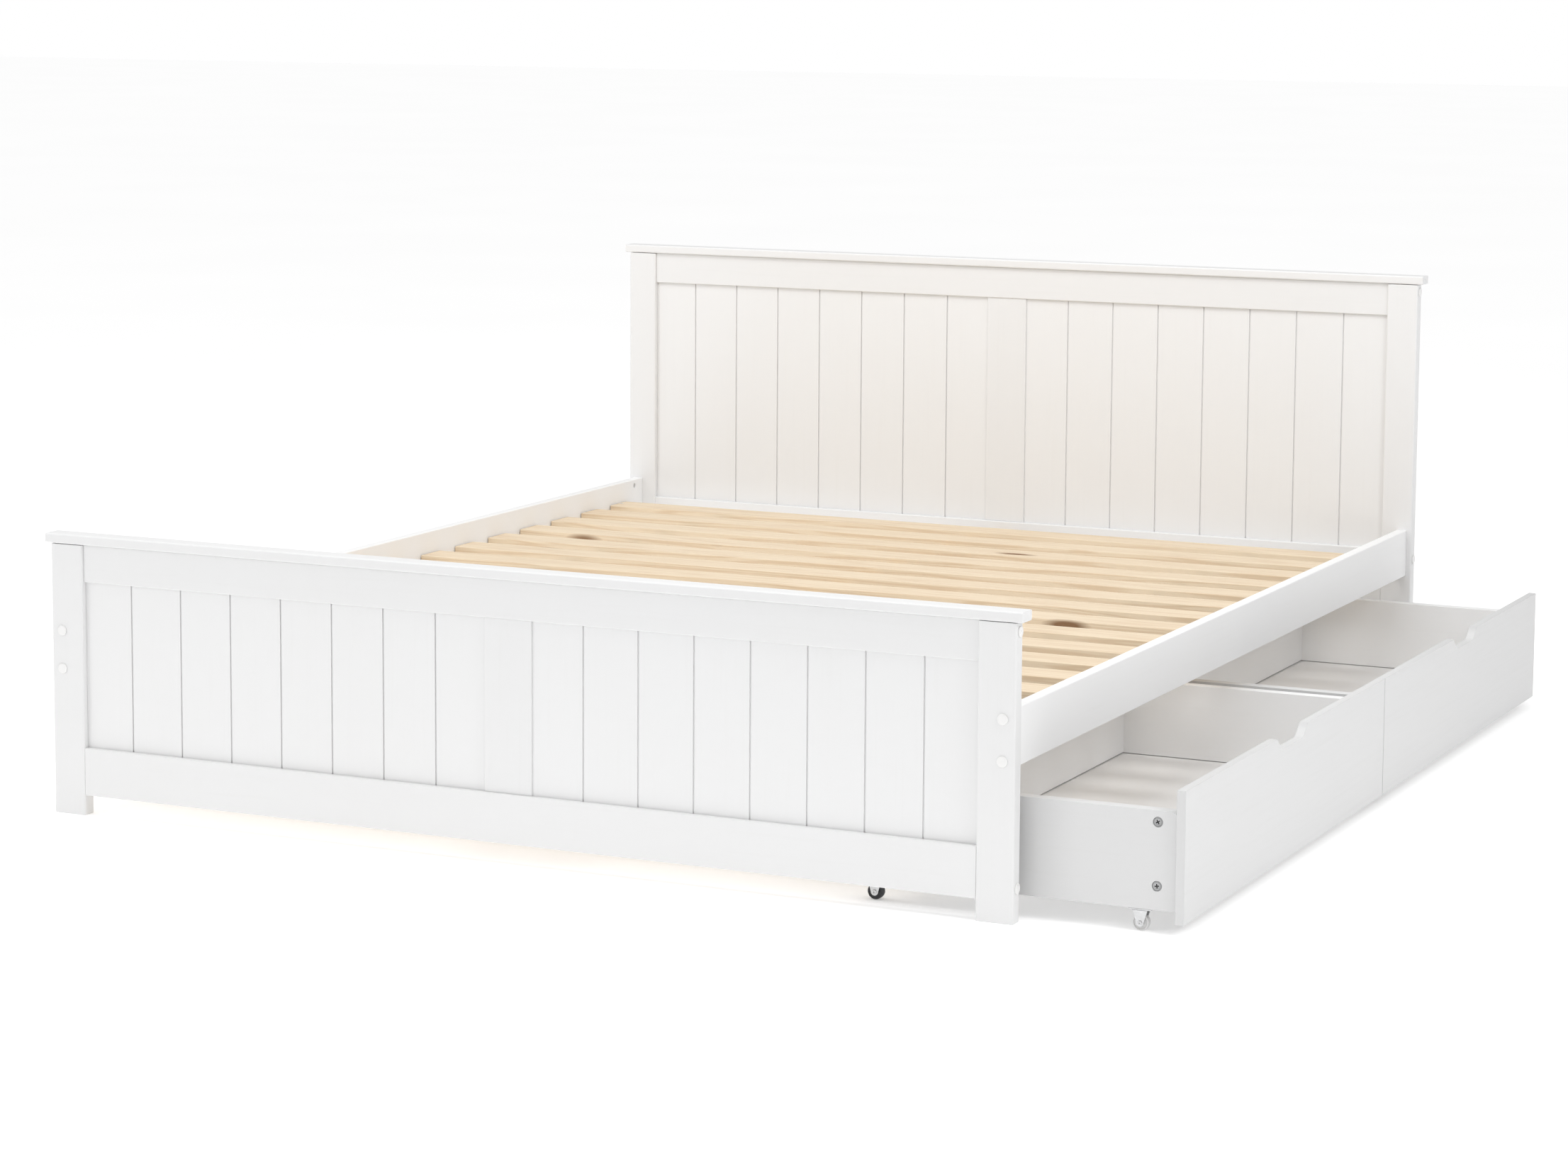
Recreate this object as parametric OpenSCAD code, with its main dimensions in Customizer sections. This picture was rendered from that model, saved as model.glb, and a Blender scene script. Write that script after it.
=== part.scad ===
// Wooden bed frame with a panelled headboard and footboard, a slatted base
// and two drawers on castors that roll out from under the right side rail.
// The origin lies on the floor under the middle leg, +X points to the drawers,
// +Y points to the headboard and +Z points up. All sizes are in millimetres.

/* [Bed] */
// Width over the outer faces of the posts
bed_w = 1700; // [1600:10:1800]
// Length over the outer faces of the posts
bed_l = 2075; // [1975:5:2175]

/* [Posts and caps] */
// Width of a post, across the bed
post_w = 60; // [55:1:70]
// Thickness of a post, along the bed
post_t = 25; // [25:1:28]
// Height of the underside of the headboard cap
head_h = 794; // [700:5:900]
// Height of the underside of the footboard cap
foot_h = 449; // [430:5:500]
// Thickness of a cap
cap_t = 16; // [14:1:22]
// Depth of a cap, along the bed
cap_d = 37; // [34:1:42]
// How far a cap stands out past the post at each end
cap_side = 10; // [5:1:20]
// How far a cap stands out in front of the posts
cap_front = 2; // [1:1:6]

/* [Panels] */
// Height of a top rail
top_rail_h = 62; // [55:1:75]
// Height of the underside of the footboard lower rail
foot_rail_z = 33; // [20:1:40]
// Height of the footboard lower rail
foot_rail_h = 79; // [70:1:90]
// Height of the underside of the headboard lower rail
head_rail_z = 144; // [120:1:150]
// Height of the headboard lower rail
head_rail_h = 135; // [125:1:140]
// Width of the stile in the middle of each panel
stile_w = 84; // [76:1:90]
// Thickness of a panel board
board_t = 8; // [8:0.5:9]
// Distance from one joint between boards to the next
board_pitch = 95; // [94:0.5:96]
// Width of the open joint between two boards
joint_gap = 2.5; // [2:0.5:4]

/* [Side rails and slats] */
// Height of the underside of a side rail
side_rail_z = 229; // [224:1:238]
// Height of a side rail
side_rail_h = 89; // [80:1:100]
// Thickness of a side rail
side_rail_t = 20; // [20:1:24]
// How far a side rail lies inside the outer face of the post
side_rail_inset = 10; // [6:1:14]
// Height of a slat ledger
ledger_h = 30; // [26:1:34]
// Thickness of a slat ledger
ledger_t = 20; // [20:1:24]
// Number of slats
slat_count = 15; // [12:1:17]
// Width of a slat
slat_w = 70; // [60:1:80]
// Thickness of a slat
slat_t = 18; // [16:1:20]
// Width of the centre beam
beam_w = 40; // [36:1:46]
// Height of the centre beam
beam_h = 60; // [50:1:64]
// Distance between the centre legs
leg_pitch = 510; // [450:10:600]

/* [Drawers] */
// How far the drawers stand out from the side rail
drawer_out = 260; // [200:10:300]
// Thickness of a drawer front
front_t = 14; // [13:0.5:18]
// Height of a drawer front
front_h = 199; // [192:1:200]
// Height of the underside of a drawer front
front_z = 18; // [14:1:20]
// Gap between the two drawer fronts
front_gap = 3; // [2:1:6]
// Gap between a drawer front and the post beside it
front_margin = 15; // [10:1:20]
// Width of the handle notch at its top
notch_w = 154; // [130:2:180]
// Depth of the handle notch
notch_h = 20; // [16:1:24]
// Thickness of a drawer side
side_t = 20; // [18:1:22]
// Height of the underside of a drawer side
side_z = 34; // [32:1:36]
// Height of a drawer side
side_h = 148.5; // [144:0.5:150]
// Depth of a drawer, behind its front
side_l = 501; // [490:1:520]
// How far a drawer side lies inside the end of the front
side_inset = 10; // [6:1:16]
// Thickness of the drawer back
back_t = 15; // [12:1:18]
// Thickness of the drawer bottom
bottom_t = 5; // [4:0.5:6]
// Diameter of a castor wheel
wheel_d = 25; // [22:1:28]
// Width of a castor wheel
wheel_w = 11; // [9:1:11]

/* [Hidden] */
// Small clearances between pieces
slip = 0.1;
ease = 0.2;

// Rounding of the edges
post_r = 3;
rail_r = 2;
cap_r = 3;

// The two end boards: the footboard is 0 and the headboard is 1
foot = 0;
head = 1;
board_y = [-bed_l / 2, bed_l / 2 - post_t];
board_h = [foot_h, head_h];
lower_z = [foot_rail_z, head_rail_z];
lower_h = [foot_rail_h, head_rail_h];
post_gap = 1;
rail_l = bed_w - 2 * post_w;
top_rail_y = 5;
top_rail_t = 18;
lower_rail_y = 1;
lower_rail_t = 22;
stile_y = 7.5;
stile_t = 15;

// The panel boards and the groove that holds them
panel_y = 11;
groove_d = 8;
groove_t = board_t + 2 * ease;
groove_y = panel_y - ease;
seat = groove_d - 1;
tongue_t = 3;
tongue_l = 4.5;
joints = 7;
panel_w = rail_l / 2 - stile_w / 2;
end_board_w = (panel_w - (joints - 1) * board_pitch) / 2;

// Panel bolts run in from the posts' side faces
bolt_d = 6;
bolt_hole_d = 6.5;
bolt_head_d = 12;
bolt_head_t = 4;
bore_d = 13;
panel_bolt_y = 14;
panel_bore = 12;
panel_bolt_l = 85;
panel_bolt_in = 40;
lower_bolt_edge = 19;
top_bolt_edge = 15;
panel_bolt_z = [
    [foot_rail_z + lower_bolt_edge, foot_h - top_bolt_edge],
    [head_rail_z + lower_bolt_edge, head_rail_z + head_rail_h - lower_bolt_edge, head_h - top_bolt_edge]
];

// Side rail bolts run in from the end faces of the posts
side_bolt_edge = 13;
side_bolt_z = [side_rail_z + side_bolt_edge, side_rail_z + side_rail_h - side_bolt_edge];
side_bore = 8;
side_bolt_l = 65;
side_bolt_in = 52;
side_rail_l = bed_l - 2 * post_t;
side_rail_x = bed_w / 2 - side_rail_inset - side_rail_t;

// Barrel nuts take the bolts' ends
nut_d = 10;
nut_l = 14;
panel_nut_in = 28;
side_nut_in = 35;

// Plug caps close the counterbores
plug_d = 17;
plug_rim = 0.8;
plug_h = 2.2;
plug_stem = 3;

// Dowels hold the caps
dowel_d = 8;
dowel_half = 9;
dowel_x = [-bed_w / 2 + post_w / 2, -300, 300, bed_w / 2 - post_w / 2];
cap_end_hole_d = 3;
cap_end_hole_l = 6;

// Wood screws
screw_d = 4;
screw_head_d = 8;
screw_head_t = 2.4;
screw_tip = 4;
ledger_screw_l = 35;
slat_screw_l = 30;
bracket_screw_l = 11;
back_screw_l = 45;
castor_screw_l = 16;
cross_l = 4.4;
cross_w = 0.9;
cross_d = 1.4;

// Slatted base
ledger_end = 60;
ledger_l = side_rail_l - 2 * ledger_end;
ledger_x = side_rail_x - ledger_t;
ledger_screws = 7;
slat_z = side_rail_z + ledger_h;
slat_l = 2 * (side_rail_x - 2);
slat_end = 18;
slat_pitch = (ledger_l - 2 * slat_end - slat_w) / (slat_count - 1);
slat_first = -(slat_count - 1) / 2 * slat_pitch;
strap_w = 25;
strap_t = 1.2;
strap_x = 560;
slat_screw_x = ledger_x + ledger_t / 2;

// Centre beam, its hangers and legs
beam_z = slat_z - beam_h;
hanger_t = 2;
hanger_w = 80;
hanger_h = 50;
hanger_l = 36;
hanger_hole_x = 31;
hanger_hole_z = [beam_z + 8, beam_z + 38];
beam_foot_y = board_y[foot] + stile_y + stile_t;
beam_head_y = board_y[head] + lower_rail_y;
leg_w = 40;
glide_h = 6;
glide_d = 34;
peg_d = 6;
peg_l = 10;
leg_r = 3;
stud_d = 8;
stud_half = 30;

// Drawers
front_l = (side_rail_l - 2 * front_margin - front_gap) / 2;
front_x = bed_w / 2 - side_rail_inset + drawer_out;
drawer_y = [-front_l - front_gap / 2, front_gap / 2];
box_x1 = front_x - front_t;
box_x0 = box_x1 - side_l;
side_r = 14;
notch_run = 25;
notch_r = 20;
back_in = 50;
back_x = box_x0 + back_in;
bottom_z = 49;
bottom_gap = 2;
bottom_groove = 6.5;
bottom_play = 1;
bottom_seat = 6;
back_z = bottom_z + bottom_t + bottom_gap;
back_screw_z = [89, 154];

// Cam locks and the bolts they draw in
cam_d = 15;
cam_l = 14;
cam_in = 32;
cam_z = [70, 165];
cam_axis = side_t / 2;
cam_bolt_d = 7;
cam_neck_d = 5;
cam_head_l = 2.5;
cam_neck_l = 5;
cam_thread_l = 9;

// Castors
axle_d = 4;
axle_z = wheel_d / 2;
castor_x = [front_x - 495, front_x - 72];
castor_y = [side_inset + side_t / 2, front_l - side_inset - side_t / 2];
plate_l = 37;
plate_w = 20;
plate_t = 2;
cheek_t = 2;
cheek_gap = 12;
cheek_top = 22;
cheek_r = 6;
rivet_d = 7;
rivet_t = 1;
castor_hole_x = 14.5;
hub_d = 11;
hub_recess = 1.2;
tread_r = 2;

paint = "#F4F4F2";
pine = "#D9B98A";
panel_paint = "#EFEFED";
zinc = "#B9BDC1";
plastic = "#F7F7F5";
webbing = "#DADAD6";
nylon = "#E9E9E6";
rubber = "#55585B";

// ---- Shapes that repeat ----

// A rectangle with rounded corners, from the origin
module rounded_rect(w, h, r) {
    translate([r, 0]) square([w - 2 * r, h]);
    translate([0, r]) square([w, h - 2 * r]);
    for (x = [r, w - r], y = [r, h - r]) {
        translate([x, y]) circle(r, $fn = 32);
    }
}

// A bar along X whose long edges are rounded
module bar_x(l, d, h, r) {
    rotate([90, 0, 90]) linear_extrude(l) rounded_rect(d, h, r);
}

// A bar along Y whose long edges are rounded
module bar_y(w, l, h, r) {
    translate([0, l, 0]) rotate([90, 0, 0]) linear_extrude(l) rounded_rect(w, h, r);
}

// A bar along Z whose long edges are rounded
module bar_z(w, d, h, r) {
    linear_extrude(h) rounded_rect(w, d, r);
}

// Draws its children at the right and their mirror image at the left
module both_sides() {
    children();
    mirror([1, 0, 0]) children();
}

// Cross recess in a screw or a cam, cut down from the origin
module cross_recess(l, w, d) {
    for (a = [0, 90]) {
        rotate(a) translate([-l / 2, -w / 2, -d]) cube([l, w, d + 1]);
    }
}

// A countersunk wood screw pointing down, with its head's top at the origin
module wood_screw(l) {
    difference() {
        union() {
            translate([0, 0, -screw_head_t]) {
                cylinder(h = screw_head_t, d1 = screw_d, d2 = screw_head_d, $fn = 24);
            }
            translate([0, 0, screw_tip - l]) cylinder(h = l - screw_tip, d = screw_d, $fn = 24);
            translate([0, 0, -l]) cylinder(h = screw_tip, d1 = 0.8, d2 = screw_d, $fn = 24);
        }
        cross_recess(cross_l, cross_w, cross_d);
    }
}

// The hole for a wood screw, pointing down from the origin
module screw_hole(l) {
    translate([0, 0, -l - slip]) cylinder(h = l + 1, d = screw_d + slip, $fn = 24);
    translate([0, 0, -screw_head_t - slip]) {
        cylinder(h = screw_head_t + slip, d1 = screw_d, d2 = screw_head_d + 2 * slip, $fn = 24);
    }
}

// ---- Places that fasteners and their holes share ----

// Panel bolt: its origin is on the right post's side face and +Z runs into the wood
module panel_bolt_place(b, z) {
    translate([bed_w / 2, board_y[b] + panel_bolt_y, z]) rotate([0, -90, 0]) children();
}

// Side rail bolt: its origin is on the right post's end face and +Z runs into the wood
module side_bolt_place(b, z) {
    x = side_rail_x + side_rail_t / 2;
    y = b == foot ? board_y[foot] : board_y[head] + post_t;
    a = b == foot ? -90 : 90;
    translate([x, y, z]) rotate([a, 0, 0]) children();
}

module all_panel_bolt_places() {
    both_sides() {
        for (b = [foot, head], z = panel_bolt_z[b]) {
            panel_bolt_place(b, z) children();
        }
    }
}

module all_side_bolt_places() {
    both_sides() {
        for (b = [foot, head], z = side_bolt_z) {
            side_bolt_place(b, z) children();
        }
    }
}

// Ledger screws at the right: they run from the ledger into the side rail
module ledger_screw_places() {
    step = (ledger_l - 100) / (ledger_screws - 1);
    for (i = [0 : ledger_screws - 1]) {
        y = -(ledger_l - 100) / 2 + i * step;
        translate([ledger_x, y, side_rail_z + ledger_h / 2]) rotate([0, -90, 0]) children();
    }
}

// Slat screws at the right: the first and last slats are screwed to the ledger
module slat_screw_places() {
    for (i = [0, slat_count - 1]) {
        translate([slat_screw_x, slat_first + i * slat_pitch, slat_z + slat_t]) children();
    }
}

// Hanger screws run into the footboard stile and the headboard lower rail
module hanger_screw_places(b) {
    y = b == foot ? beam_foot_y + hanger_t : beam_head_y - hanger_t;
    a = b == foot ? -90 : 90;
    for (x = [-hanger_hole_x, hanger_hole_x], z = hanger_hole_z) {
        translate([x, y, z]) rotate([a, 0, 0]) children();
    }
}

module leg_places() {
    for (y = [-leg_pitch, 0, leg_pitch]) {
        translate([0, y, 0]) children();
    }
}

module dowel_places(b) {
    for (x = dowel_x) {
        translate([x, board_y[b] + panel_bolt_y, board_h[b] - dowel_half]) children();
    }
}

// ---- Headboard and footboard ----

// The bore for a bolt through a post: a counterbore and a through hole
module bolt_bore(bore, l) {
    translate([0, 0, -1]) cylinder(h = bore + 1, d = bore_d, $fn = 32);
    cylinder(h = l, d = bolt_hole_d, $fn = 32);
}

module dowel_hole() {
    translate([0, 0, -slip]) cylinder(h = 2 * dowel_half + 2 * slip, d = dowel_d + slip, $fn = 32);
}

// The right post of an end board
module right_post(b) {
    panel_z0 = lower_z[b] + lower_h[b] - groove_d;
    panel_z1 = board_h[b] - top_rail_h + groove_d;
    difference() {
        translate([bed_w / 2 - post_w, board_y[b], 0]) {
            bar_z(post_w, post_t, board_h[b] - post_gap, post_r);
        }
        translate([rail_l / 2 - 1, board_y[b] + groove_y, panel_z0]) {
            cube([groove_d + 1, groove_t, panel_z1 - panel_z0]);
        }
        for (z = panel_bolt_z[b]) {
            panel_bolt_place(b, z) bolt_bore(panel_bore, post_w + 1);
        }
        for (z = side_bolt_z) {
            side_bolt_place(b, z) bolt_bore(side_bore, post_t + 1);
        }
        dowel_places(b) dowel_hole();
    }
}

// The small hole in the right end face of a cap
module cap_end_hole(b) {
    y = board_y[b] - cap_front + cap_d / 2;
    translate([bed_w / 2 + cap_side + 1, y, board_h[b] + cap_t / 2]) {
        rotate([0, -90, 0]) cylinder(h = cap_end_hole_l + 1, d = cap_end_hole_d, $fn = 24);
    }
}

module end_cap(b) {
    difference() {
        translate([-bed_w / 2 - cap_side, board_y[b] - cap_front, board_h[b]]) {
            bar_x(bed_w + 2 * cap_side, cap_d, cap_t, cap_r);
        }
        dowel_places(b) dowel_hole();
        if (b == head) {
            both_sides() cap_end_hole(b);
        }
    }
}

// The holes in a rail's ends for the bolts at heights zs, and for their nuts
module rail_end_holes(b, zs) {
    nut_x = rail_l / 2 - panel_nut_in;
    both_sides() {
        for (z = zs) {
            panel_bolt_place(b, z) cylinder(h = post_w + panel_bolt_in, d = bolt_hole_d, $fn = 32);
            translate([nut_x, board_y[b] + panel_bolt_y + nut_l / 2 + slip, z]) rotate([90, 0, 0]) {
                translate([0, 0, -10]) cylinder(h = nut_l + 10 + 2 * slip, d = nut_d + slip, $fn = 32);
            }
        }
    }
}

module top_rail(b) {
    z = board_h[b] - top_rail_h;
    difference() {
        translate([-rail_l / 2, board_y[b] + top_rail_y, z]) bar_x(rail_l, top_rail_t, top_rail_h, rail_r);
        translate([-rail_l / 2 - 1, board_y[b] + groove_y, z - 1]) cube([rail_l + 2, groove_t, groove_d + 1]);
        rail_end_holes(b, [board_h[b] - top_bolt_edge]);
        dowel_places(b) dowel_hole();
    }
}

module lower_rail(b) {
    zs = [for (z = panel_bolt_z[b]) if (z < lower_z[b] + lower_h[b]) z];
    top = lower_z[b] + lower_h[b];
    difference() {
        translate([-rail_l / 2, board_y[b] + lower_rail_y, lower_z[b]]) {
            bar_x(rail_l, lower_rail_t, lower_h[b], rail_r);
        }
        translate([-rail_l / 2 - 1, board_y[b] + groove_y, top - groove_d]) {
            cube([rail_l + 2, groove_t, groove_d + 1]);
        }
        rail_end_holes(b, zs);
        if (b == head) {
            hanger_screw_places(head) screw_hole(bracket_screw_l);
        }
    }
}

module stile(b) {
    z0 = lower_z[b] + lower_h[b];
    z1 = board_h[b] - top_rail_h;
    difference() {
        union() {
            translate([-stile_w / 2, board_y[b] + stile_y, z0]) bar_z(stile_w, stile_t, z1 - z0, rail_r);
            translate([-stile_w / 2 + groove_d + 1, board_y[b] + panel_y, z0 - seat]) {
                cube([stile_w - 2 * groove_d - 2, board_t, z1 - z0 + 2 * seat]);
            }
        }
        both_sides() {
            translate([stile_w / 2 - groove_d, board_y[b] + groove_y, z0 - 1]) {
                cube([groove_d + 1, groove_t, z1 - z0 + 2]);
            }
        }
        if (b == foot) {
            hanger_screw_places(foot) screw_hole(bracket_screw_l);
        }
    }
}

// The joint line number k of a half panel, counted out from the stile
function joint_x(k) = stile_w / 2 + end_board_w + (k - 1) * board_pitch;

// Board number k of a half panel, tongued on its outer edge and grooved on its inner edge
module panel_board(b, k) {
    x0 = k == 0 ? stile_w / 2 - seat : joint_x(k) + joint_gap / 2;
    x1 = k == joints ? rail_l / 2 + seat : joint_x(k + 1) - joint_gap / 2;
    z0 = lower_z[b] + lower_h[b] - seat;
    z1 = board_h[b] - top_rail_h + seat;
    tongue_y = (board_t - tongue_t) / 2;
    translate([x0, board_y[b] + panel_y, z0]) {
        difference() {
            union() {
                cube([x1 - x0, board_t, z1 - z0]);
                if (k < joints) {
                    translate([x1 - x0 - 1, tongue_y, 0]) {
                        cube([1 + joint_gap + tongue_l, tongue_t, z1 - z0]);
                    }
                }
            }
            if (k > 0) {
                translate([-1, tongue_y - ease, -1]) {
                    cube([1 + tongue_l + ease, tongue_t + 2 * ease, z1 - z0 + 2]);
                }
            }
        }
    }
}

module panel_boards(b) {
    both_sides() {
        for (k = [0 : joints]) {
            panel_board(b, k);
        }
    }
}

module headboard_left_post() { color(paint) mirror([1, 0, 0]) right_post(head); }
module headboard_right_post() { color(paint) right_post(head); }
module headboard_cap() { color(paint) end_cap(head); }
module headboard_top_rail() { color(paint) top_rail(head); }
module headboard_lower_rail() { color(paint) lower_rail(head); }
module headboard_boards() { color(panel_paint) panel_boards(head); }
module headboard_stile() { color(paint) stile(head); }
module footboard_left_post() { color(paint) mirror([1, 0, 0]) right_post(foot); }
module footboard_right_post() { color(paint) right_post(foot); }
module footboard_cap() { color(paint) end_cap(foot); }
module footboard_top_rail() { color(paint) top_rail(foot); }
module footboard_lower_rail() { color(paint) lower_rail(foot); }
module footboard_boards() { color(panel_paint) panel_boards(foot); }
module footboard_stile() { color(paint) stile(foot); }

// ---- Bolts, nuts and plugs ----

module cap_dowels() {
    color(pine) {
        for (b = [foot, head]) {
            dowel_places(b) cylinder(h = 2 * dowel_half, d = dowel_d, $fn = 32);
        }
    }
}

// A bolt whose head sits on the bottom of a counterbore
module socket_bolt(bore, l) {
    difference() {
        union() {
            translate([0, 0, bore - bolt_head_t]) cylinder(h = bolt_head_t, d = bolt_head_d, $fn = 32);
            translate([0, 0, bore - 1]) cylinder(h = l + 1, d = bolt_d, $fn = 32);
        }
        translate([0, 0, bore - bolt_head_t - 1]) cylinder(h = 3.5, d = 5.8, $fn = 6);
    }
}

module panel_bolts() {
    color(zinc) all_panel_bolt_places() socket_bolt(panel_bore, panel_bolt_l);
}

module side_rail_bolts() {
    color(zinc) all_side_bolt_places() socket_bolt(side_bore, side_bolt_l);
}

// A barrel nut with its cross hole at the origin and its axis along Y
module barrel_nut() {
    difference() {
        translate([0, nut_l / 2, 0]) rotate([90, 0, 0]) cylinder(h = nut_l, d = nut_d, $fn = 32);
        translate([-nut_d, 0, 0]) rotate([0, 90, 0]) cylinder(h = 2 * nut_d, d = bolt_d + slip, $fn = 32);
    }
}

module barrel_nuts() {
    color(zinc) {
        both_sides() {
            for (b = [foot, head], z = panel_bolt_z[b]) {
                translate([rail_l / 2 - panel_nut_in, board_y[b] + panel_bolt_y, z]) barrel_nut();
            }
            for (s = [-1, 1], z = side_bolt_z) {
                y = s * (side_rail_l / 2 - side_nut_in);
                translate([side_rail_x + side_rail_t / 2, y, z]) rotate(90) barrel_nut();
            }
        }
    }
}

// A domed plug cap on the surface at the origin, with its stem along +Z
module plug_cap() {
    dome = plug_h - plug_rim;
    dome_r = (plug_d * plug_d / 4 + dome * dome) / (2 * dome);
    intersection() {
        translate([0, 0, -plug_h]) cylinder(h = plug_h, d = plug_d, $fn = 48);
        translate([0, 0, dome_r - plug_h]) sphere(dome_r, $fn = 96);
    }
    cylinder(h = plug_stem, d = bore_d - 2 * slip, $fn = 32);
}

module plug_caps() {
    color(plastic) {
        all_panel_bolt_places() plug_cap();
        all_side_bolt_places() plug_cap();
    }
}

// ---- Side rails and slatted base ----

module right_rail() {
    difference() {
        translate([side_rail_x, -side_rail_l / 2, side_rail_z]) {
            bar_y(side_rail_t, side_rail_l, side_rail_h, rail_r);
        }
        for (b = [foot, head], z = side_bolt_z) {
            side_bolt_place(b, z) cylinder(h = post_t + side_bolt_in, d = bolt_hole_d, $fn = 32);
        }
        for (s = [-1, 1], z = side_bolt_z) {
            translate([side_rail_x - 1, s * (side_rail_l / 2 - side_nut_in), z]) rotate([0, 90, 0]) {
                cylinder(h = 1 + side_rail_t / 2 + nut_l / 2 + slip, d = nut_d + slip, $fn = 32);
            }
        }
        ledger_screw_places() screw_hole(ledger_screw_l);
    }
}

module right_ledger() {
    difference() {
        translate([ledger_x, -ledger_l / 2, side_rail_z]) bar_y(ledger_t, ledger_l, ledger_h, rail_r);
        ledger_screw_places() screw_hole(ledger_screw_l);
        slat_screw_places() screw_hole(slat_screw_l);
    }
}

module left_side_rail() { color(paint) mirror([1, 0, 0]) right_rail(); }
module right_side_rail() { color(paint) right_rail(); }
module left_slat_ledger() { color(pine) mirror([1, 0, 0]) right_ledger(); }
module right_slat_ledger() { color(pine) right_ledger(); }

module wood_screws() {
    color(zinc) {
        both_sides() {
            ledger_screw_places() wood_screw(ledger_screw_l);
            slat_screw_places() wood_screw(slat_screw_l);
        }
        for (b = [foot, head]) {
            hanger_screw_places(b) wood_screw(bracket_screw_l);
        }
    }
}

module slats() {
    color(pine) {
        difference() {
            for (i = [0 : slat_count - 1]) {
                translate([-slat_l / 2, slat_first + i * slat_pitch - slat_w / 2, slat_z]) {
                    bar_x(slat_l, slat_w, slat_t, rail_r);
                }
            }
            both_sides() slat_screw_places() screw_hole(slat_screw_l);
        }
    }
}

module slat_straps() {
    l = (slat_count - 1) * slat_pitch + slat_w;
    color(webbing) {
        for (x = [-strap_x, strap_x]) {
            translate([x - strap_w / 2, -l / 2, slat_z - strap_t]) cube([strap_w, l, strap_t]);
        }
    }
}

module centre_beam() {
    y0 = beam_foot_y + hanger_t;
    y1 = beam_head_y - hanger_t;
    color(pine) {
        difference() {
            translate([-beam_w / 2, y0, beam_z]) bar_y(beam_w, y1 - y0, beam_h, rail_r);
            leg_places() {
                translate([0, 0, beam_z - 1]) cylinder(h = stud_half + 1 + slip, d = stud_d + slip, $fn = 32);
            }
        }
    }
}

// A hanger for the beam's end, with its back face at the origin and its seat along +Y
module beam_hanger() {
    cheek_x = beam_w / 2 + ease;
    difference() {
        translate([-hanger_w / 2, 0, beam_z - hanger_t]) cube([hanger_w, hanger_t, hanger_h]);
        for (x = [-hanger_hole_x, hanger_hole_x], z = hanger_hole_z) {
            translate([x, hanger_t, z]) rotate([-90, 0, 0]) screw_hole(bracket_screw_l);
        }
    }
    translate([-cheek_x - hanger_t, 0, beam_z - hanger_t]) {
        cube([2 * (cheek_x + hanger_t), hanger_l, hanger_t]);
    }
    for (x = [-cheek_x - hanger_t, cheek_x]) {
        translate([x, 0, beam_z - hanger_t]) cube([hanger_t, hanger_l, hanger_h]);
    }
}

module beam_hangers() {
    color(zinc) {
        translate([0, beam_foot_y, 0]) beam_hanger();
        translate([0, beam_head_y, 0]) mirror([0, 1, 0]) beam_hanger();
    }
}

module centre_legs() {
    color(pine) {
        difference() {
            leg_places() {
                translate([-leg_w / 2, -leg_w / 2, glide_h]) bar_z(leg_w, leg_w, beam_z - glide_h, leg_r);
            }
            leg_places() {
                translate([0, 0, beam_z - stud_half - slip]) {
                    cylinder(h = stud_half + 1, d = stud_d + slip, $fn = 32);
                }
                translate([0, 0, glide_h - 1]) cylinder(h = peg_l + 1 + slip, d = peg_d + slip, $fn = 32);
            }
        }
    }
}

module leg_studs() {
    color(zinc) {
        leg_places() translate([0, 0, beam_z - stud_half]) cylinder(h = 2 * stud_half, d = stud_d, $fn = 32);
    }
}

module leg_glides() {
    color(plastic) {
        leg_places() {
            cylinder(h = 1.5, d1 = glide_d - 3, d2 = glide_d, $fn = 48);
            translate([0, 0, 1.5]) cylinder(h = glide_h - 1.5, d = glide_d, $fn = 48);
            translate([0, 0, glide_h - 1]) cylinder(h = peg_l + 1, d = peg_d, $fn = 32);
        }
    }
}

// ---- Drawers ----
// A drawer's own Y starts at the near end of its front.

// The handle notch's outline: sloping flanks that run into the flat by an arc
module notch_outline() {
    slope = atan2(notch_h, notch_run);
    half = notch_w / 2;
    low = half - notch_run;
    tangent = notch_r * tan(slope / 2);
    top = half + notch_run / notch_h;
    difference() {
        polygon([[-top, 1], [top, 1], [low, -notch_h], [-low, -notch_h]]);
        for (s = [-1, 1]) {
            difference() {
                polygon([
                    [s * (low - tangent), -notch_h],
                    [s * low, -notch_h],
                    [s * (low + tangent * cos(slope)), -notch_h + tangent * sin(slope)]
                ]);
                translate([s * (low - tangent), notch_r - notch_h]) circle(notch_r, $fn = 64);
            }
        }
    }
}

// Cam bolt places: the origin is on the inner face of the front and +Z runs forward
module cam_bolt_places() {
    for (y = castor_y, z = cam_z) {
        translate([box_x1, y, z]) rotate([0, 90, 0]) children();
    }
}

// Cam lock places on the sides' outer faces: +Z runs into the wood
module cam_lock_places() {
    for (z = cam_z) {
        translate([box_x1 - cam_in, side_inset, z]) rotate([-90, 0, 0]) children();
        translate([box_x1 - cam_in, front_l - side_inset, z]) rotate([90, 0, 0]) children();
    }
}

// Screws through the sides into the back: they point along local -Z
module back_screw_places() {
    for (z = back_screw_z) {
        translate([back_x + back_t / 2, side_inset, z]) rotate([90, 0, 0]) children();
        translate([back_x + back_t / 2, front_l - side_inset, z]) rotate([-90, 0, 0]) children();
    }
}

module castor_places() {
    for (x = castor_x, y = castor_y) {
        translate([x, y, 0]) children();
    }
}

module castor_screw_places() {
    castor_places() {
        for (x = [-castor_hole_x, castor_hole_x]) {
            translate([x, 0, side_z - plate_t]) mirror([0, 0, 1]) children();
        }
    }
}

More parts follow.
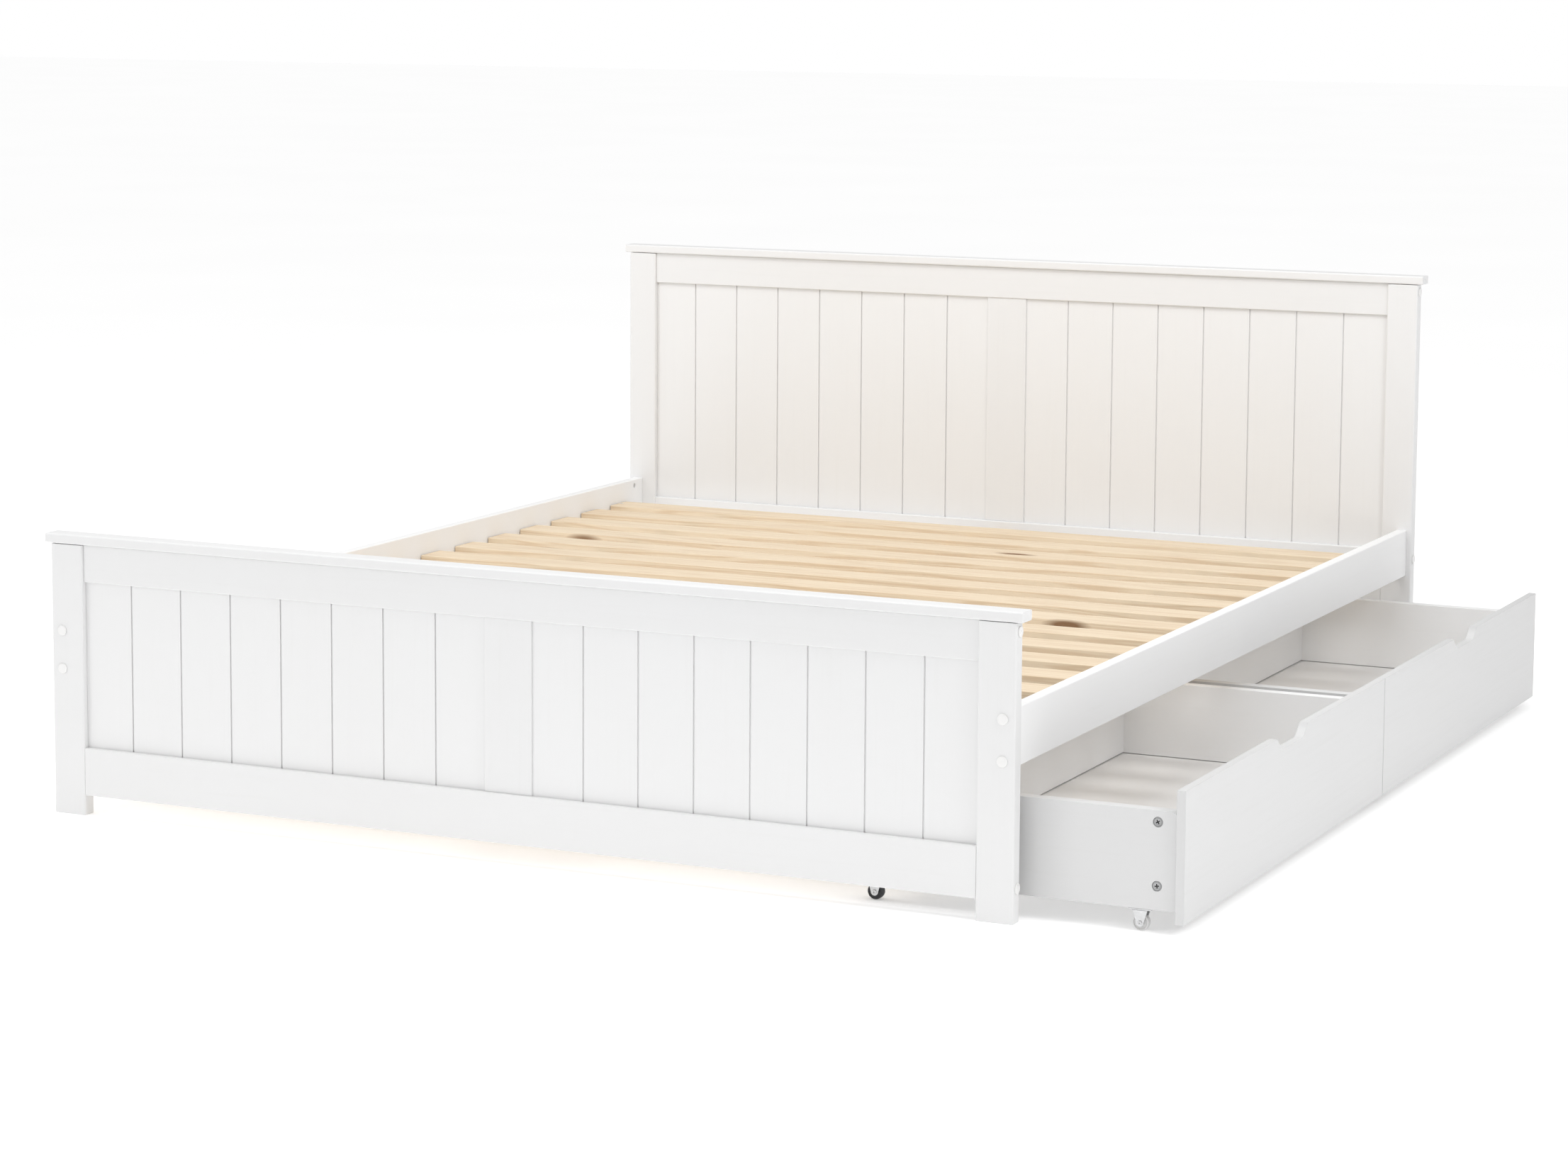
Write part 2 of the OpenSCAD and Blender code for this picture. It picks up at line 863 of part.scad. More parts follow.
module drawer_front() {
    groove_end = side_inset + side_t - bottom_groove;
    color(paint) {
        difference() {
            translate([box_x1, 0, front_z]) rotate([90, 0, 90]) linear_extrude(front_t) {
                difference() {
                    square([front_l, front_h]);
                    translate([front_l / 2, front_h]) notch_outline();
                }
            }
            translate([box_x1 - 1, groove_end, bottom_z - ease]) {
                cube([bottom_groove + 1, front_l - 2 * groove_end, bottom_t + ease + bottom_play]);
            }
            cam_bolt_places() {
                translate([0, 0, -1]) cylinder(h = cam_thread_l + 1 + slip, d = cam_neck_d + slip, $fn = 24);
            }
        }
    }
}

module drawer_side(far) {
    y = far ? front_l - side_inset - side_t : side_inset;
    inner_y = far ? y - 1 : y + side_t - bottom_groove;
    color(paint) {
        difference() {
            translate([box_x0, y + side_t, side_z]) rotate([90, 0, 0]) linear_extrude(side_t) {
                square([side_l, side_h - side_r]);
                translate([side_r, 0]) square([side_l - 2 * side_r, side_h]);
                for (x = [side_r, side_l - side_r]) {
                    translate([x, side_h - side_r]) circle(side_r, $fn = 48);
                }
            }
            translate([box_x0 - 1, inner_y, bottom_z - ease]) {
                cube([side_l + 2, bottom_groove + 1, bottom_t + ease + bottom_play]);
            }
            cam_lock_places() {
                translate([0, 0, -1]) cylinder(h = cam_l + 1 + slip, d = cam_d + slip, $fn = 32);
            }
            cam_bolt_places() {
                translate([0, 0, -cam_in - 2]) cylinder(h = cam_in + 3, d = cam_bolt_d + ease, $fn = 24);
            }
            back_screw_places() screw_hole(back_screw_l);
            castor_screw_places() screw_hole(castor_screw_l);
        }
    }
}

module drawer_back() {
    l = front_l - 2 * side_inset - 2 * side_t;
    color(paint) {
        difference() {
            translate([back_x, side_inset + side_t, back_z]) cube([back_t, l, side_z + side_h - back_z]);
            back_screw_places() screw_hole(back_screw_l);
        }
    }
}

module drawer_bottom() {
    y0 = side_inset + side_t - bottom_seat;
    x0 = back_x - 3;
    color(panel_paint) {
        translate([x0, y0, bottom_z]) cube([box_x1 + bottom_seat - x0, front_l - 2 * y0, bottom_t]);
    }
}

module drawer_cam_locks() {
    color(zinc) {
        cam_lock_places() {
            difference() {
                cylinder(h = cam_l, d = cam_d, $fn = 32);
                translate([-cam_bolt_d / 2, 0, cam_axis]) rotate([0, 90, 0]) {
                    cylinder(h = cam_d, d = cam_bolt_d + ease, $fn = 24);
                }
                mirror([0, 0, 1]) cross_recess(9, 2.2, 2.5);
            }
        }
    }
}

module drawer_cam_bolts() {
    collar = cam_in - cam_neck_l - cam_head_l;
    color(zinc) {
        cam_bolt_places() {
            translate([0, 0, -1]) cylinder(h = cam_thread_l + 1, d = cam_neck_d, $fn = 24);
            translate([0, 0, -collar]) cylinder(h = collar, d = cam_bolt_d, $fn = 24);
            translate([0, 0, -cam_in]) cylinder(h = cam_neck_l + cam_head_l + 1, d = cam_neck_d, $fn = 24);
            translate([0, 0, -cam_in]) cylinder(h = cam_head_l, d = cam_bolt_d - ease, $fn = 24);
        }
    }
}

module drawer_screws() {
    color(zinc) {
        back_screw_places() wood_screw(back_screw_l);
        castor_screw_places() wood_screw(castor_screw_l);
    }
}

// One cheek of a castor: a tapered plate with a rounded foot round the axle
module castor_cheek(y) {
    translate([0, y + cheek_t, 0]) rotate([90, 0, 0]) linear_extrude(cheek_t) {
        polygon([
            [-cheek_top / 2, side_z - 1], [cheek_top / 2, side_z - 1],
            [cheek_r, axle_z], [-cheek_r, axle_z]
        ]);
        translate([0, axle_z]) circle(cheek_r, $fn = 32);
    }
}

// A cylinder on a castor's axle line, from y0 to y1
module along_axle(y0, y1, d) {
    translate([0, y1, axle_z]) rotate([90, 0, 0]) cylinder(h = y1 - y0, d = d, $fn = 32);
}

module castor_bracket() {
    difference() {
        union() {
            translate([-plate_l / 2, -plate_w / 2, side_z - plate_t]) cube([plate_l, plate_w, plate_t]);
            castor_cheek(-cheek_gap / 2 - cheek_t);
            castor_cheek(cheek_gap / 2);
        }
        along_axle(-plate_w, plate_w, axle_d + slip);
        for (x = [-castor_hole_x, castor_hole_x]) {
            translate([x, 0, side_z - plate_t]) mirror([0, 0, 1]) screw_hole(castor_screw_l);
        }
    }
}

module drawer_castor_brackets() {
    color(zinc) castor_places() castor_bracket();
}

// Axles riveted over the cheeks
module drawer_castor_axles() {
    half = cheek_gap / 2 + cheek_t;
    color(zinc) {
        castor_places() {
            along_axle(-half - rivet_t / 2, half + rivet_t / 2, axle_d);
            along_axle(half, half + rivet_t, rivet_d);
            along_axle(-half - rivet_t, -half, rivet_d);
        }
    }
}

// Wheel number i of a drawer: 0 and 1 are at its back, 2 and 3 at its front
module drawer_wheel(i) {
    x = castor_x[i < 2 ? 0 : 1];
    y = castor_y[i % 2];
    bore_r = (axle_d + slip) / 2;
    color(i < 2 ? rubber : nylon) {
        translate([x, y, axle_z]) rotate([90, 0, 0]) rotate_extrude($fn = 64) {
            difference() {
                translate([0, -wheel_w / 2]) rounded_rect(wheel_d / 2, wheel_w, tread_r);
                translate([-1, -wheel_w]) square([1 + bore_r, 2 * wheel_w]);
                for (s = [-1, 1]) {
                    translate([hub_d / 2, s * wheel_w / 2 - hub_recess]) {
                        square([wheel_d / 2 - hub_d / 2 - 2 * tread_r, 2 * hub_recess]);
                    }
                }
            }
        }
    }
}

module at_drawer(n) {
    translate([0, drawer_y[n - 1], 0]) children();
}

headboard_left_post();
headboard_right_post();
headboard_cap();
headboard_top_rail();
headboard_lower_rail();
headboard_boards();
headboard_stile();
footboard_left_post();
footboard_right_post();
footboard_cap();
footboard_top_rail();
footboard_lower_rail();
footboard_boards();
footboard_stile();
cap_dowels();
panel_bolts();
side_rail_bolts();
barrel_nuts();
plug_caps();
left_side_rail();
right_side_rail();
left_slat_ledger();
right_slat_ledger();
wood_screws();
slats();
slat_straps();
centre_beam();
beam_hangers();
centre_legs();
leg_studs();
leg_glides();
at_drawer(1) drawer_front();  // drawer_1_front
at_drawer(1) drawer_side(false);  // drawer_1_near_side
at_drawer(1) drawer_side(true);  // drawer_1_far_side
at_drawer(1) drawer_back();  // drawer_1_back
at_drawer(1) drawer_bottom();  // drawer_1_bottom
at_drawer(1) drawer_cam_locks();  // drawer_1_cam_locks
at_drawer(1) drawer_cam_bolts();  // drawer_1_cam_bolts
at_drawer(1) drawer_screws();  // drawer_1_screws
at_drawer(1) drawer_castor_brackets();  // drawer_1_castor_brackets
at_drawer(1) drawer_castor_axles();  // drawer_1_castor_axles
at_drawer(1) drawer_wheel(0);  // drawer_1_wheel_1
at_drawer(1) drawer_wheel(1);  // drawer_1_wheel_2
at_drawer(1) drawer_wheel(2);  // drawer_1_wheel_3
at_drawer(1) drawer_wheel(3);  // drawer_1_wheel_4
at_drawer(2) drawer_front();  // drawer_2_front
at_drawer(2) drawer_side(false);  // drawer_2_near_side
at_drawer(2) drawer_side(true);  // drawer_2_far_side
at_drawer(2) drawer_back();  // drawer_2_back
at_drawer(2) drawer_bottom();  // drawer_2_bottom
at_drawer(2) drawer_cam_locks();  // drawer_2_cam_locks
at_drawer(2) drawer_cam_bolts();  // drawer_2_cam_bolts
at_drawer(2) drawer_screws();  // drawer_2_screws
at_drawer(2) drawer_castor_brackets();  // drawer_2_castor_brackets
at_drawer(2) drawer_castor_axles();  // drawer_2_castor_axles
at_drawer(2) drawer_wheel(0);  // drawer_2_wheel_1
at_drawer(2) drawer_wheel(1);  // drawer_2_wheel_2
at_drawer(2) drawer_wheel(2);  // drawer_2_wheel_3
at_drawer(2) drawer_wheel(3);  // drawer_2_wheel_4
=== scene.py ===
import math

import bmesh
import bpy
from mathutils import Matrix, Vector


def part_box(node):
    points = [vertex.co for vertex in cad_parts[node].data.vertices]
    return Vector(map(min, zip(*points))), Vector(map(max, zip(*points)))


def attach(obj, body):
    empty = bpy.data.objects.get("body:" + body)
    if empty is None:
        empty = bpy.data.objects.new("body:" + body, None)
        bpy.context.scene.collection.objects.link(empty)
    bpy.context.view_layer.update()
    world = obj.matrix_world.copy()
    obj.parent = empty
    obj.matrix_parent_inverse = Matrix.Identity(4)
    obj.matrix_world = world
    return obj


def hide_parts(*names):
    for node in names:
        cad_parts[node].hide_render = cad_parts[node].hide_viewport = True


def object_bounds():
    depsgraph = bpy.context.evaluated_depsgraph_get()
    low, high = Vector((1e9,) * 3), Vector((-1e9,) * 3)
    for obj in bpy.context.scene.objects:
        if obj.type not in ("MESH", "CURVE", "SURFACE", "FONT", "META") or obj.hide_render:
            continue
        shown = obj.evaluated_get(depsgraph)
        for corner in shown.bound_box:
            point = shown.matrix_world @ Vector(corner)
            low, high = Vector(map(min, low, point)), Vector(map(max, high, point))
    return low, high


# Wooden bed frame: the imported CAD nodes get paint, pine and metal materials and
# softened edges, and the small fittings are modelled again in finer detail.
# Everything is in metres, in the frame of the CAD model.

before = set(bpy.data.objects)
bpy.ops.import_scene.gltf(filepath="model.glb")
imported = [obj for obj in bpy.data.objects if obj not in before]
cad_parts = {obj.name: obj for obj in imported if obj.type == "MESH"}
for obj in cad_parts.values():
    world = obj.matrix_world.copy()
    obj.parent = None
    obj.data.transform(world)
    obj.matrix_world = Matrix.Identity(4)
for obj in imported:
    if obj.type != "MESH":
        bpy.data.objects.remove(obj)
cad_low, cad_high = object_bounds()

MM = 0.001
SAME_PLACE = 0.001 * MM
DRAWERS = ("drawer_1", "drawer_2")
WHEELS = (1, 2, 3, 4)
REAR_WHEELS = (1, 2)

# Brightness of the surround at the horizon and overhead, and of the floor by itself
SKY_LOW = 0.34
SKY_TOP = 0.96
FLOOR_GLOW = 0.27


# ---- Node trees ----


class Shader:
    """One material and short calls that add nodes to its tree."""

    def __init__(self, name):
        self.material = bpy.data.materials.new(name)
        self.material.use_nodes = True
        self.tree = self.material.node_tree
        self.bsdf = self.tree.nodes["Principled BSDF"]

    def add(self, kind, inputs, **settings):
        """A new node; inputs maps a socket's name or number to a value or to another socket."""
        made = self.tree.nodes.new(kind)
        for key, value in settings.items():
            setattr(made, key, value)
        for key, value in inputs.items():
            if isinstance(value, bpy.types.NodeSocket):
                self.tree.links.new(value, made.inputs[key])
            else:
                made.inputs[key].default_value = value
        return made

    def point(self, scale=(1, 1, 1), offset=None):
        """The object's own coordinates in metres, stretched by scale."""
        place = self.add("ShaderNodeTexCoord", {}).outputs["Object"]
        if offset is not None:
            place = self.add("ShaderNodeVectorMath", {0: place, 1: offset}).outputs[0]
        mapping = self.add("ShaderNodeMapping", {"Vector": place, "Scale": scale})
        return mapping.outputs["Vector"]

    def noise(self, point, scale, detail, distortion=0.0):
        values = {"Vector": point, "Scale": scale, "Detail": detail, "Distortion": distortion}
        return self.add("ShaderNodeTexNoise", values).outputs["Fac"]

    def math(self, operation, a, b=0.0):
        return self.add("ShaderNodeMath", {0: a, 1: b}, operation=operation).outputs[0]

    def spread(self, value, low, high, start=0.25, end=0.75):
        """Value from start to end becomes low to high, held at the ends."""
        values = {"Value": value, "From Min": start, "From Max": end, "To Min": low, "To Max": high}
        return self.add("ShaderNodeMapRange", values).outputs["Result"]

    def mix(self, share, a, b):
        """Colour a turning into colour b as share goes from 0 to 1."""
        return self.add("ShaderNodeMix", {0: share, 6: a, 7: b}, data_type="RGBA").outputs[2]

    def bump(self, height, distance, normal=None):
        """Bumps of height (0 to 1) times distance in metres, on top of another normal."""
        values = {"Height": height, "Distance": distance}
        if normal is not None:
            values["Normal"] = normal
        return self.add("ShaderNodeBump", values).outputs["Normal"]

    def finish(self, color, roughness, normal, **constants):
        """Links the surface and sets the constants on the shader's own sockets."""
        self.tree.links.new(color, self.bsdf.inputs["Base Color"])
        self.tree.links.new(roughness, self.bsdf.inputs["Roughness"])
        self.tree.links.new(normal, self.bsdf.inputs["Normal"])
        for key, value in constants.items():
            self.bsdf.inputs[key.replace("_", " ")].default_value = value
        return self.material


def along(axis, lengthwise, across):
    """A scale for a grain that runs along axis 0, 1 or 2."""
    return tuple(lengthwise if i == axis else across for i in range(3))


def shade(level, warmth=0.0):
    """A near-grey colour: warmth above 0 takes a little blue out."""
    return (level, level * (1 - warmth * 0.4), level * (1 - warmth), 1)


# ---- Materials ----


def paint(name, axis, level):
    """Satin white paint over wood: the grain shows faintly under brushed-out paint."""
    s = Shader(name)
    grain = s.noise(s.point(along(axis, 4, 150)), scale=1, detail=5, distortion=0.6)
    cloud = s.noise(s.point(), scale=2.2, detail=2)
    spray = s.noise(s.point(), scale=1100, detail=2)
    tint = s.mix(s.spread(cloud, 0, 1), shade(level * 0.985, 0.004), shade(level, -0.004))
    color = s.mix(s.spread(grain, 0, 0.35, 0.55, 0.75), tint, shade(level * 0.965, 0.01))
    roughness = s.math("ADD", s.spread(cloud, 0.40, 0.48), s.spread(grain, -0.03, 0.05))
    fine = s.bump(spray, 0.012 * MM)
    normal = s.bump(grain, 0.05 * MM, fine)
    return s.finish(color, roughness, normal, Coat_Weight=0.08, Coat_Roughness=0.32, IOR=1.46)


def foil(name, level):
    """White foil on thin board: almost even, with a fine pressed texture."""
    s = Shader(name)
    press = s.noise(s.point(), scale=700, detail=3)
    cloud = s.noise(s.point(), scale=3, detail=2)
    color = s.mix(s.spread(cloud, 0, 1), shade(level * 0.98, 0.012), shade(level, 0.006))
    roughness = s.spread(cloud, 0.46, 0.56)
    return s.finish(color, roughness, s.bump(press, 0.02 * MM), IOR=1.46)


def pine(name, axis):
    """Planed pine: growth rings round a pith beside the board, pores and a few knots."""
    s = Shader(name)
    across = [i for i in range(3) if i != axis]
    place = s.add("ShaderNodeTexCoord", {}).outputs["Object"]
    parts = s.add("ShaderNodeSeparateXYZ", {0: place}).outputs
    # Each board is cut from another part of the tree, so the pattern shifts from board to board
    strips_per_metre = 7.6
    shift_per_strip = 1.37
    ring_turns = 60
    strip = s.math("FLOOR", s.math("MULTIPLY", parts[across[0]], strips_per_metre))
    shift = s.add("ShaderNodeCombineXYZ", {axis: s.math("MULTIPLY", strip, shift_per_strip)}).outputs[0]
    warp = s.noise(s.point(along(axis, 0.9, 26), shift), scale=1.3, detail=2)
    rings = s.math("SINE", s.math("MULTIPLY", warp, ring_turns))
    late = s.spread(rings, 0, 1, -0.1, 0.95)
    pores = s.noise(s.point(along(axis, 14, 900), shift), scale=1, detail=3)
    spots = s.add("ShaderNodeTexVoronoi", {"Vector": s.point(along(axis, 2.3, 9), shift), "Scale": 1.0})
    knot = s.spread(spots.outputs["Distance"], 1, 0, 0.05, 0.11)
    early_wood = (0.79, 0.66, 0.49, 1)
    late_wood = (0.65, 0.48, 0.31, 1)
    pore_brown = (0.52, 0.36, 0.20, 1)
    knot_brown = (0.24, 0.13, 0.06, 1)
    wood = s.mix(s.math("MULTIPLY", late, 0.55), early_wood, late_wood)
    wood = s.mix(s.spread(pores, 0, 0.22, 0.5, 0.75), wood, pore_brown)
    color = s.mix(knot, wood, knot_brown)
    roughness = s.math("ADD", s.spread(late, 0.60, 0.50, 0, 1), s.spread(pores, 0, 0.10))
    fine = s.bump(pores, 0.05 * MM)
    normal = s.bump(late, 0.04 * MM, fine)
    return s.finish(color, roughness, normal, IOR=1.5)


def zinc(name, level, polish):
    """Bright zinc plate: small spangles with a faint brushed grain."""
    s = Shader(name)
    spangle = s.add("ShaderNodeTexVoronoi", {"Vector": s.point(), "Scale": 420.0}).outputs["Color"]
    brushed = s.noise(s.point(along(0, 90, 900)), scale=1, detail=4)
    cloud = s.noise(s.point(), scale=130, detail=3)
    color = s.mix(s.spread(spangle, 0, 1, 0, 1), shade(level * 0.92), shade(level, -0.03))
    color = s.mix(s.spread(cloud, 0, 0.35), color, shade(level * 0.78))
    roughness = s.math("ADD", s.spread(brushed, polish, polish + 0.08), s.spread(cloud, 0, 0.10))
    normal = s.bump(brushed, 0.012 * MM)
    return s.finish(color, roughness, normal, Metallic=1.0)


def plastic(name, level, low, high):
    """Moulded plastic: an even colour with a fine eroded-mould texture."""
    s = Shader(name)
    mould = s.noise(s.point(), scale=1800, detail=2)
    cloud = s.noise(s.point(), scale=60, detail=3)
    color = s.mix(s.spread(cloud, 0, 1), shade(level * 0.97, 0.02), shade(level, 0.01))
    roughness = s.spread(cloud, low, high)
    return s.finish(color, roughness, s.bump(mould, 0.008 * MM), IOR=1.52)


def rubber(name):
    """Dark grey rubber, dusty and matt, with fine pitting."""
    s = Shader(name)
    pits = s.noise(s.point(), scale=2400, detail=3)
    dust = s.noise(s.point(), scale=240, detail=4)
    color = s.mix(s.spread(dust, 0, 1), (0.045, 0.046, 0.05, 1), (0.085, 0.086, 0.09, 1))
    roughness = s.spread(dust, 0.62, 0.82)
    return s.finish(color, roughness, s.bump(pits, 0.03 * MM), IOR=1.5)


def webbing(name):
    """Woven polyester tape: raised warp cords crossed by weft picks."""
    s = Shader(name)
    parts = s.add("ShaderNodeSeparateXYZ", {0: s.point()}).outputs
    warp_pitch = 1.6 * MM
    weft_pitch = 1.1 * MM
    warp = s.math("SINE", s.math("MULTIPLY", parts[0], math.tau / warp_pitch))
    weft = s.math("SINE", s.math("MULTIPLY", parts[1], math.tau / weft_pitch))
    weave = s.math("ADD", s.math("MULTIPLY", warp, weft), s.math("MULTIPLY", warp, 0.5))
    fuzz = s.noise(s.point(), scale=1500, detail=3)
    color = s.mix(s.spread(weave, 0, 1, -1, 1), (0.52, 0.52, 0.49, 1), (0.74, 0.74, 0.71, 1))
    color = s.mix(s.spread(fuzz, 0, 0.3), color, (0.60, 0.60, 0.57, 1))
    roughness = s.spread(fuzz, 0.78, 0.92)
    normal = s.bump(weave, 0.15 * MM, s.bump(fuzz, 0.03 * MM))
    return s.finish(color, roughness, normal, Sheen_Weight=0.2, Sheen_Roughness=0.5)


PAINT_X = paint("white_paint_x", 0, 0.805)
# The side rails get a brighter copy of the white paint: painted light.
PAINT_Y_LIT = paint("white_paint_y_painted_light", 1, 0.91)
PAINT_Z = paint("white_paint_z", 2, 0.805)
BOARD_Z = paint("panel_paint_z", 2, 0.825)
# One drawer paint at three levels: the near side darker as painted shade, the far side and back
# brighter as painted light against the shade inside the drawer.
DRAWER_SHADED_X = paint("drawer_paint_x_painted_shade", 0, 0.70)
DRAWER_FAR_LIT = paint("drawer_far_paint_x_painted_light", 0, 0.88)
DRAWER_Y_LIT = paint("drawer_paint_y_painted_light", 1, 0.91)
# The drawer fronts are a darker white: partly the fronts' own greyer board, partly painted shade.
FRONT_Y_GREY_AND_SHADED = paint("drawer_front_paint_grey_and_shade", 1, 0.67)
FOIL = foil("white_foil", 0.80)
PINE_X = pine("pine_x", 0)
PINE_Y = pine("pine_y", 1)
PINE_Z = pine("pine_z", 2)
ZINC = zinc("zinc_plate", 0.68, 0.24)
CAST_ZINC = zinc("cast_zinc", 0.42, 0.30)
# Near-black zinc for the cams' cross recess: painted shade in the recess, not a different metal.
SHADED_RECESS_ZINC = zinc("zinc_recess_painted_shade", 0.16, 0.45)
CAP_PLASTIC = plastic("white_cap_plastic", 0.86, 0.26, 0.34)
NYLON = plastic("white_nylon", 0.70, 0.34, 0.46)
RUBBER = rubber("grey_rubber")
WEBBING = webbing("woven_tape")


# ---- CAD nodes that stay: materials and softened edges ----


def dress(name, material, edge):
    """Gives a CAD node its material and rounds its sharp edges by edge metres."""
    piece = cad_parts[name]
    mesh = piece.data
    if "custom_normal" in mesh.attributes:
        mesh.attributes.remove(mesh.attributes["custom_normal"])
    mesh.shade_smooth()
    mesh.materials.clear()
    mesh.materials.append(material)
    weld = piece.modifiers.new("weld", "WELD")
    weld.merge_threshold = SAME_PLACE
    flat = piece.modifiers.new("flat", "DECIMATE")
    flat.decimate_type = "DISSOLVE"
    flat.angle_limit = math.radians(0.5)
    bevel = piece.modifiers.new("bevel", "BEVEL")
    bevel.width = edge
    bevel.segments = 2
    bevel.limit_method = "ANGLE"
    bevel.angle_limit = math.radians(40)
    bevel.use_clamp_overlap = False
    bevel.miter_outer = "MITER_ARC"
    shading = piece.modifiers.new("shading", "WEIGHTED_NORMAL")
    shading.keep_sharp = True


def dress_end_boards():
    for end in ("headboard", "footboard"):
        for part in ("cap", "top_rail", "lower_rail"):
            dress(f"{end}_{part}", PAINT_X, 0.8 * MM)
        for part in ("left_post", "right_post", "stile"):
            dress(f"{end}_{part}", PAINT_Z, 0.8 * MM)
        dress(f"{end}_boards", BOARD_Z, 0.6 * MM)


def dress_base():
    for side in ("left", "right"):
        # The side rails' brighter paint is painted light on the same white paint.
        dress(f"{side}_side_rail", PAINT_Y_LIT, 0.8 * MM)
        dress(f"{side}_slat_ledger", PINE_Y, 0.6 * MM)
    dress("slats", PINE_X, 0.6 * MM)
    dress("centre_beam", PINE_Y, 0.8 * MM)
    dress("centre_legs", PINE_Z, 0.8 * MM)
    dress("leg_glides", CAP_PLASTIC, 0.6 * MM)
    dress("cap_dowels", PINE_Z, 0.4 * MM)
    dress("beam_hangers", ZINC, 0.4 * MM)


def dress_fasteners():
    for name in ("panel_bolts", "side_rail_bolts", "barrel_nuts", "wood_screws", "leg_studs"):
        dress(name, ZINC, 0.15 * MM)
    for drawer in DRAWERS:
        for part in ("cam_bolts", "screws"):
            dress(f"{drawer}_{part}", ZINC, 0.15 * MM)


def dress_drawers():
    for drawer in DRAWERS:
        # The front's darker paint is partly its own grey and partly painted shade.
        dress(f"{drawer}_front", FRONT_Y_GREY_AND_SHADED, 0.9 * MM)
        # Near side painted darker (painted shade); far side and back painted lighter (painted light).
        dress(f"{drawer}_near_side", DRAWER_SHADED_X, 0.8 * MM)
        dress(f"{drawer}_far_side", DRAWER_FAR_LIT, 0.8 * MM)
        dress(f"{drawer}_back", DRAWER_Y_LIT, 0.8 * MM)
        dress(f"{drawer}_bottom", FOIL, 0.3 * MM)


# ---- Mesh tools ----


def solids(name):
    """The boxes of a CAD node's separate solids, as (lowest, highest) corners, in a fixed order."""
    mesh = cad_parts[name].data
    work = bmesh.new()
    work.from_mesh(mesh)
    bmesh.ops.remove_doubles(work, verts=work.verts, dist=SAME_PLACE)
    left = set(work.verts)
    boxes = []
    while left:
        found = [left.pop()]
        low = found[0].co.copy()
        high = found[0].co.copy()
        while found:
            vert = found.pop()
            low = Vector(map(min, low, vert.co))
            high = Vector(map(max, high, vert.co))
            near = {edge.other_vert(vert) for edge in vert.link_edges} & left
            left -= near
            found.extend(near)
        boxes.append((low, high))
    work.free()
    return sorted(boxes, key=lambda box: [round(value, 5) for value in box[0]])


def middle(box):
    return (box[0] + box[1]) / 2


def arc(x, y, radius, start, end, steps):
    """Points on an arc from start to end degrees."""
    turns = [math.radians(start + (end - start) * i / steps) for i in range(steps + 1)]
    return [(x + radius * math.cos(a), y + radius * math.sin(a)) for a in turns]


def lathe(outline, steps=48, closed=False):
    """A bmesh turned round Z from (radius, height) points; a closed outline makes a ring."""
    made = bmesh.new()
    rings = []
    for radius, height in outline:
        if radius < SAME_PLACE:
            rings.append([made.verts.new((0, 0, height))])
            continue
        turns = [math.tau * i / steps for i in range(steps)]
        around = [(radius * math.cos(a), radius * math.sin(a), height) for a in turns]
        rings.append([made.verts.new(place) for place in around])
    pairs = list(zip(rings, rings[1:]))
    if closed:
        pairs.append((rings[-1], rings[0]))
    for lower, upper in pairs:
        for i in range(steps):
            j = (i + 1) % steps
            corners = [lower[i % len(lower)], lower[j % len(lower)]]
            corners += [upper[j % len(upper)], upper[i % len(upper)]]
            unique = list(dict.fromkeys(corners))
            if len(unique) > 2:
                made.faces.new(unique)
    bmesh.ops.recalc_face_normals(made, faces=made.faces)
    return made


def to_mesh(made, name, *materials):
    mesh = bpy.data.meshes.new(name)
    made.to_mesh(mesh)
    made.free()
    mesh.shade_smooth()
    for material in materials:
        mesh.materials.append(material)
    return mesh


def copies(mesh, places, name):
    """One mesh that holds a copy of mesh at each of the places, which are matrices."""
    made = bmesh.new()
    for place in places:
        part = mesh.copy()
        part.transform(place)
        made.from_mesh(part)
        bpy.data.meshes.remove(part)
    return to_mesh(made, name, *mesh.materials)


def carve(mesh, cutter):
    """The mesh with the cutter's shape cut out; cut faces keep the cutter's material."""
    piece = bpy.data.objects.new("carved", mesh)
    tool = bpy.data.objects.new("cutter", cutter)
    for item in (piece, tool):
        bpy.context.scene.collection.objects.link(item)
    cut = piece.modifiers.new("cut", "BOOLEAN")
    cut.object = tool
    cut.solver = "EXACT"
    cut.material_mode = "TRANSFER"
    bpy.context.view_layer.update()
    shown = piece.evaluated_get(bpy.context.evaluated_depsgraph_get())
    result = bpy.data.meshes.new_from_object(shown)
    for item in (piece, tool):
        bpy.data.objects.remove(item)
    return result


def add_piece(name, mesh, body, slot, *replaced):
    """Puts a mesh, already in the frame's coordinates, in the scene on its body."""
    piece = bpy.data.objects.new(name, mesh)
    bpy.context.scene.collection.objects.link(piece)
    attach(piece, body)
    if replaced:
        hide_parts(*replaced)
    return piece


def facing(direction):
    """A rotation that turns +Z to a direction."""
    return Vector(direction).to_track_quat("Z", "Y").to_matrix().to_4x4()


def smooth_by_angle(piece, degrees):
    """Keeps edges sharper than the angle crisp in the shading."""
    piece.data.set_sharp_from_angle(angle=math.radians(degrees))


# ---- Plug caps ----


def plug_cap_mesh(radius, height, stem_radius, stem):
    """A push-in cap: a nearly flat face, a round rim with an undercut, and a stem in the bore."""
    rim = 1.2 * MM
    undercut = 0.6 * MM
    seat = 0.1 * MM
    crown = 0.1 * MM
    outline = [(0, height)]
    outline += [(radius * 0.5, height - crown * 0.4)]
    outline += arc(radius - rim, height - rim - crown, rim, 80, 0, 6)
    outline += [(radius, undercut), (radius - undercut, undercut * 0.6), (radius - undercut, -seat)]
    taper = 0.3 * MM
    outline += [(stem_radius, -seat), (stem_radius - taper, -stem), (0, -stem)]
    return to_mesh(lathe(outline, 48), "plug_cap", CAP_PLASTIC)


